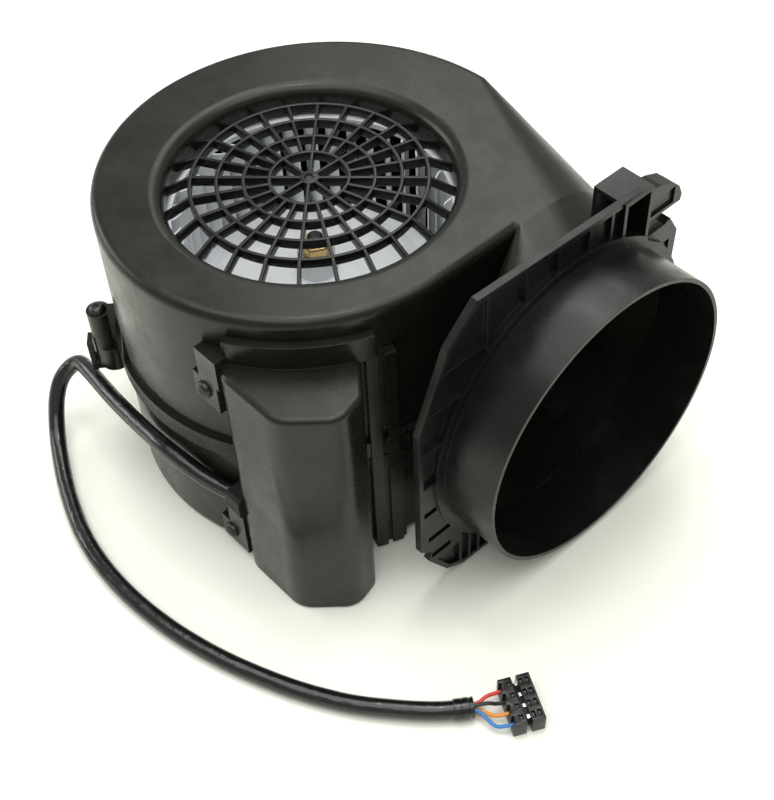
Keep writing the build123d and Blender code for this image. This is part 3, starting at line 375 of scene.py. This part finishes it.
def rounded_section(width, depth, corner, steps=3):
    """Rounded rectangle hanging down from height zero, as (across, height) pairs in millimetres."""
    points = []
    half = width / 2
    for x, y, start in ((half - corner, -corner, 0), (-half + corner, -corner, 90),
                        (-half + corner, -depth + corner, 180), (half - corner, -depth + corner, 270)):
        for step in range(steps + 1):
            angle = math.radians(start + 90 * step / steps)
            points.append((x + corner * math.cos(angle), y + corner * math.sin(angle)))
    return points


def add_bar(shape, path, section):
    """Bar with a section swept along a level-ish path of points in millimetres, capped at both ends."""
    rows = []
    for index, point in enumerate(path):
        before = path[max(index - 1, 0)]
        after = path[min(index + 1, len(path) - 1)]
        heading = Vector((after[0] - before[0], after[1] - before[1], 0)).normalized()
        across = Vector((-heading.y, heading.x, 0))
        places = [Vector(point) + across * x + Vector((0, 0, z)) for x, z in section]
        rows.append([shape.verts.new(place * MM) for place in places])
    count = len(section)
    for low, high in zip(rows, rows[1:]):
        for step in range(count):
            after = (step + 1) % count
            shape.faces.new((low[step], high[step], high[after], low[after]))
    shape.faces.new(rows[0])
    shape.faces.new(list(reversed(rows[-1])))


def finished(name, shape, material, smooth_angle=35, bevel=0.0):
    """Object from a bmesh, with outward faces, an optional bevel and smooth shading below an angle."""
    bmesh.ops.recalc_face_normals(shape, faces=shape.faces)
    mesh = bpy.data.meshes.new(name)
    shape.to_mesh(mesh)
    shape.free()
    piece = link(name, mesh)
    if bevel:
        modifier = piece.modifiers.new("edges", "BEVEL")
        modifier.width = bevel * MM
        modifier.segments = 2
        modifier.limit_method = "ANGLE"
        modifier.angle_limit = math.radians(smooth_angle)
        modifier.harden_normals = True
    mesh.polygons.foreach_set("use_smooth", [True] * len(mesh.polygons))
    mesh.set_sharp_from_angle(angle=math.radians(smooth_angle))
    mesh.materials.append(material)
    return piece


def carved(name, solids, cutters, material, bevel=0.25, place=None):
    """Object from boxes joined together, minus other boxes, with beveled edges."""
    parts = []
    for label, boxes in (("solid", solids), ("cutter", cutters)):
        for index, limits in enumerate(boxes):
            shape = bmesh.new()
            add_box(shape, *limits, place)
            parts.append((label, finished(f"{name}_{label}_{index}", shape, material)))
    base = parts[0][1]
    for label, part in parts[1:]:
        modifier = base.modifiers.new("join", "BOOLEAN")
        modifier.operation = "UNION" if label == "solid" else "DIFFERENCE"
        modifier.solver = "EXACT"
        modifier.object = part
    modifier = base.modifiers.new("edges", "BEVEL")
    modifier.width = bevel * MM
    modifier.segments = 2
    modifier.limit_method = "ANGLE"
    bpy.context.view_layer.update()
    graph = bpy.context.evaluated_depsgraph_get()
    mesh = bpy.data.meshes.new_from_object(base.evaluated_get(graph))
    mesh.polygons.foreach_set("use_smooth", [True] * len(mesh.polygons))
    mesh.set_sharp_from_angle(angle=math.radians(30))
    for label, part in parts:
        bpy.data.objects.remove(part)
    mesh.materials.clear()
    mesh.materials.append(material)
    return link(name, mesh)


def placed(piece, body, node):
    """Ride on a body and stand for a CAD node, whose own mesh it hides."""
    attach(piece, body)
    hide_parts(*([node] if isinstance(node, str) else node))
    return piece


# ---- inlet grille -------------------------------------------------------------------------------
GRILLE_TOP = 158.5
GRILLE_DEPTH = 5.0
GRILLE_RIB = 1.7
GRILLE_RINGS = (17.9, 29.5, 41.6, 53.5)
GRILLE_HUB = 4.6
GRILLE_THROAT = 65.6
GRILLE_SPOKE_END = 66.5
GRILLE_DROP = 7.0
GRILLE_INNER_SPOKES = 8
GRILLE_SPOKES = 24


def make_grille():
    """Rings on spokes with rounded ribs; the outer spokes drop to the throat."""
    shape = bmesh.new()
    section = rounded_section(GRILLE_RIB, GRILLE_DEPTH, 0.45)
    for radius in GRILLE_RINGS:
        add_lathe(shape, [(radius + x, GRILLE_TOP + z) for x, z in section], steps=160)
    add_lathe(shape, [(0, GRILLE_TOP - 1.0), (1.6, GRILLE_TOP - 1.0), (2.0, GRILLE_TOP - 0.5),
                      (2.4, GRILLE_TOP), (GRILLE_HUB - 0.8, GRILLE_TOP),
                      (GRILLE_HUB - 0.2, GRILLE_TOP - 0.25), (GRILLE_HUB, GRILLE_TOP - 0.8),
                      (GRILLE_HUB, GRILLE_TOP - GRILLE_DEPTH), (0, GRILLE_TOP - GRILLE_DEPTH)], steps=48)
    inner, outer = GRILLE_RINGS[0], GRILLE_RINGS[-1]
    low = GRILLE_TOP - 0.12       # spokes lie a little under the rings

    def along(angle, runs):
        return [(r * math.cos(angle), r * math.sin(angle), z) for r, z in runs]

    for spoke in range(GRILLE_INNER_SPOKES):
        angle = 2 * math.pi * spoke / GRILLE_INNER_SPOKES
        add_bar(shape, along(angle, [(GRILLE_HUB - 1, low), (inner, low)]), section)
    end_drop = GRILLE_DROP * (GRILLE_THROAT - outer) / (GRILLE_SPOKE_END - outer)
    for spoke in range(GRILLE_SPOKES):
        angle = 2 * math.pi * spoke / GRILLE_SPOKES
        runs = [(inner, low), (outer - 0.4, low), (outer + 0.9, low - 0.3), (outer + 2.2, low - 1.0),
                (GRILLE_THROAT, GRILLE_TOP - end_drop)]
        add_bar(shape, along(angle, runs), section)
    piece = finished("grille_ribs", shape, grille_black, smooth_angle=40)
    placed(piece, "housing", "inlet_grille")


make_grille()

# ---- screws -------------------------------------------------------------------------------------


def screw_head(shape, place, turn, radius, height):
    """Domed head dished in the middle, with a raised cross that stands for the recess."""
    profile = [(0, height * 0.55), (radius * 0.18, height * 0.62), (radius * 0.30, height * 0.98),
               (radius * 0.55, height * 0.92), (radius * 0.80, height * 0.72), (radius * 0.95, height * 0.42),
               (radius, height * 0.16), (radius, 0), (0, 0)]
    add_lathe(shape, profile, place, turn, 40)
    for angle in (0.4, 0.4 + math.pi / 2):
        wing = Matrix.Rotation(angle, 3, "Z")

        def at(x, y, z, wing=wing):
            return (turn @ (wing @ Vector((x, y, z)))) + Vector(place)

        add_box(shape, (-radius * 0.5, radius * 0.5), (-0.32, 0.32), (height * 0.5, height * 1.0), at)


LUG_FACE = -92.6              # Y of the terminal box's screw lugs
LUG_SCREW_X = 35.0
LUG_SCREW_HEIGHTS = (117.0, 15.0)
TOWER_TOP = 87.0
TOWER_SCREW_END = 56
HEAD_RADIUS = 4.2
HEAD_HEIGHT = 2.8
TOWER_SCREW_RADIUS = 2
LUG_SCREW_RADIUS = 1.8
LUG_SCREW_DEPTH = 10
SHANK_STEPS = 24
SCREW_SPREAD = 12             # points of one CAD screw lie closer together than this


def screw_shank(shape, place, turn, radius, low, high):
    """Plain round shank between two heights, under a head."""
    add_lathe(shape, [(0, low), (radius, low), (radius, high), (0, high)], place, turn, SHANK_STEPS)


def make_screws():
    """Screws of the shells' towers and of the box's two lugs."""
    shape = bmesh.new()
    for x, y in tower_places():
        screw_head(shape, (x, y, TOWER_TOP), Matrix.Identity(3), HEAD_RADIUS, HEAD_HEIGHT)
        screw_shank(shape, (x, y, 0), None, TOWER_SCREW_RADIUS, TOWER_SCREW_END, TOWER_TOP)
    placed(finished("tower_screws", shape, dark_steel), "housing", "seam_screws")
    shape = bmesh.new()
    facing = Matrix.Rotation(math.radians(90), 3, "X")
    for height in LUG_SCREW_HEIGHTS:
        place = (LUG_SCREW_X, LUG_FACE, height)
        screw_head(shape, place, facing, HEAD_RADIUS, HEAD_HEIGHT)
        screw_shank(shape, place, facing, LUG_SCREW_RADIUS, -LUG_SCREW_DEPTH, 0)
    placed(finished("box_screws", shape, dark_steel), "housing", "cover_screws")


def tower_places():
    """Axes of the three screw towers: the middle of each CAD screw's own vertices."""
    groups = []
    for point in (vertex.co / MM for vertex in nodes["seam_screws"].data.vertices):
        for group in groups:
            if (group[0].xy - point.xy).length < SCREW_SPREAD:
                group.append(point)
                break
        else:
            groups.append([point])
    places = []
    for group in groups:
        across, along = [point.x for point in group], [point.y for point in group]
        places.append(((min(across) + max(across)) / 2, (min(along) + max(along)) / 2))
    return places


make_screws()

# ---- nut ----------------------------------------------------------------------------------------


NUT_HALF_FLAT = 6.5
NUT_BOTTOM = 113.4
NUT_TOP = 119.9
SHAFT_CLEARANCE = 4.05


def make_nut():
    """Brass hexagon nut with chamfered ends and a raised ring on top."""
    shape = bmesh.new()
    rows = []
    for height, share in ((NUT_BOTTOM, 0.94), (NUT_BOTTOM + 0.5, 1.0), (NUT_TOP - 0.9, 1.0), (NUT_TOP, 0.90)):
        row = []
        for corner in range(6):
            angle = math.radians(60 * corner)
            radius = NUT_HALF_FLAT / math.cos(math.radians(30)) * share
            point = Vector((radius * math.cos(angle), radius * math.sin(angle), height))
            row.append(shape.verts.new(point * MM))
        rows.append(row)
    for below, above in zip(rows, rows[1:]):
        for corner in range(6):
            after = (corner + 1) % 6
            shape.faces.new((below[corner], below[after], above[after], above[corner]))
    shape.faces.new(list(reversed(rows[0])))
    shape.faces.new(rows[-1])
    add_lathe(shape, [(SHAFT_CLEARANCE, NUT_TOP - 0.2), (5.0, NUT_TOP - 0.2), (5.3, NUT_TOP + 0.25),
                      (4.9, NUT_TOP + 0.45), (SHAFT_CLEARANCE, NUT_TOP + 0.3)], steps=48)
    placed(finished("hub_nut", shape, brass, bevel=0.25), "rotor", "brass_nut")


make_nut()

# ---- connector ----------------------------------------------------------------------------------
PLUG_HALF = 11.75
PITCH = 8.6                   # from the plug's middle line to the socket's
HOUSING_TOP = 10
CUT_TOP = 11                  # pockets are cut from above the housings' tops
POCKET_HALF = 1.5
SLIT_HALF = 1.1
MOUTH_HALF = 2.2
MOUTH_DEPTH = 4.2             # from the socket's outer side
CONNECTOR_BEVEL = 0.22


def span(middle, half):
    """Limits at the same distance on both sides of a middle."""
    return (middle - half, middle + half)


def make_connector():
    """Plug with wire slots and a stepped side, socket with two rows of pockets, and the contacts between."""
    half = CONNECTOR_HALF_WIDTH
    pockets = []
    for place in CAVITY_PLACES:
        pockets.append((span(place, POCKET_HALF), (-half - 1, -half + 1.5), (4.2, CUT_TOP)))
        pockets.append((span(place, SLIT_HALF), (0.3, 2.2), (8.6, CUT_TOP)))
    solids = [((-PLUG_HALF, PLUG_HALF), (-half, half), (0, HOUSING_TOP)),
              ((-PLUG_HALF + 3, PLUG_HALF - 3), (half - 0.1, PITCH - half), (1.0, 8.6))]
    plug = carved("plug_housing", solids, pockets, connector_black, CONNECTOR_BEVEL, on_connector)
    placed(plug, "housing", "connector_plug")
    pockets = []
    for place in CAVITY_PLACES:
        for across in (PITCH - 1.7, PITCH + 1.2):
            pockets.append((span(place, POCKET_HALF), span(across, 0.85), (8.2, CUT_TOP)))
        pockets.append((span(place, MOUTH_HALF), (PITCH + half - MOUTH_DEPTH, PITCH + half + 1), (2.3, 7.2)))
    solids = [((-PLUG_HALF, PLUG_HALF), (PITCH - half, PITCH + half), (0, HOUSING_TOP))]
    socket = carved("socket_housing", solids, pockets, connector_black, CONNECTOR_BEVEL, on_connector)
    placed(socket, "housing", "connector_socket")
    shape = bmesh.new()
    for place in CAVITY_PLACES:
        mouth = (PITCH + half - MOUTH_DEPTH, PITCH + half - 0.6)
        bridge = (PITCH - half - 1.6, PITCH - half - 0.2)
        add_box(shape, span(place, 1.4), mouth, (4.6, 5.4), on_connector)
        add_box(shape, span(place, 0.9), bridge, (8.4, 8.9), on_connector)
    placed(finished("contact_strips", shape, tin, bevel=0.1), "housing", "connector_contacts")
    return plug, socket


plug_piece, socket_piece = make_connector()

# ---- band and the sleeve's open end -------------------------------------------------------------


TIE_HALF = 3.4
FLARE_END = 5.4


def make_tie():
    """Wide wrapped band round the sleeve's end, and the open, flared end of the sleeve beyond it."""
    centre = cable_end - end_heading * (TIE_HALF + 1.4)
    turn = Matrix((side_heading, end_heading.cross(side_heading), end_heading)).transposed()
    shape = bmesh.new()
    inner, outer = CABLE_RADIUS + 0.02, CABLE_RADIUS + 0.75
    add_lathe(shape, [(inner, -TIE_HALF), (outer - 0.25, -TIE_HALF), (outer, -TIE_HALF + 0.3), (outer, -0.4),
                      (outer - 0.22, -0.2), (outer - 0.22, 0.2), (outer, 0.4), (outer, TIE_HALF - 0.3),
                      (outer - 0.25, TIE_HALF), (inner, TIE_HALF)], centre, turn, 64)
    add_lathe(shape, [(inner, TIE_HALF - 0.2), (inner + 0.35, TIE_HALF - 0.2), (inner + 0.55, TIE_HALF + 1.4),
                      (inner + 0.75, FLARE_END), (inner + 0.45, FLARE_END), (inner + 0.1, TIE_HALF + 1.4)],
              centre, turn, 64)
    return placed(finished("tie_band", shape, sleeve_black), "housing", "cable_tie")


tie_piece = make_tie()

# ---- floor, backdrop and light ------------------------------------------------------------------


FLOOR_HALF = 3.0
WORLD_COLOUR = (0.96, 0.98, 0.93)
WORLD_STRENGTH = 0.52


def make_floor():
    """Pale table that everything lies on."""
    mesh = bpy.data.meshes.new("floor")
    corners = [(x * FLOOR_HALF, y * FLOOR_HALF, 0) for x, y in ((-1, -1), (1, -1), (1, 1), (-1, 1))]
    mesh.from_pydata(corners, [], [(0, 1, 2, 3)])
    floor = link("floor", mesh)
    recipe = Recipe("table_white", (0.94, 0.95, 0.87), 0.6)
    recipe.set("Specular IOR Level", 0.3)
    recipe.feed("Base Color", recipe.blend(recipe.noise(3, 3), (0.93, 0.94, 0.86), (0.95, 0.96, 0.89)))
    mesh.materials.append(recipe.material)


def area_light(name, place, aim, size, power, colour=(1, 1, 1)):
    """Rectangular soft box at a place, facing a point."""
    data = bpy.data.lights.new(name, "AREA")
    data.shape = "RECTANGLE"
    data.size, data.size_y = size
    data.energy = power
    data.color = colour
    lamp = link(name, data)
    heading = Vector(aim) - Vector(place)
    lamp.matrix_world = Matrix.Translation(place) @ heading.to_track_quat("-Z", "Y").to_matrix().to_4x4()


make_floor()
target = (0.02, 0.0, 0.08)
area_light("overhead", (0.15, -0.15, 1.5), (0.15, -0.15, 0), (1.7, 1.7), 23, (1.0, 1.0, 0.96))
area_light("window", (-0.5, 0.75, 1.2), target, (0.8, 0.8), 5.5, (1.0, 1.0, 0.96))
area_light("left", (-1.1, -0.6, 0.55), target, (0.7, 0.5), 4)
area_light("glint", (-0.05, 0.12, 1.5), target, (0.22, 0.12), 2.2)

world = bpy.data.worlds.new("studio")
world.use_nodes = True
world.node_tree.nodes["Background"].inputs["Color"].default_value = (*WORLD_COLOUR, 1)
world.node_tree.nodes["Background"].inputs["Strength"].default_value = WORLD_STRENGTH
bpy.context.scene.world = world
bpy.context.scene.view_settings.view_transform = "Standard"
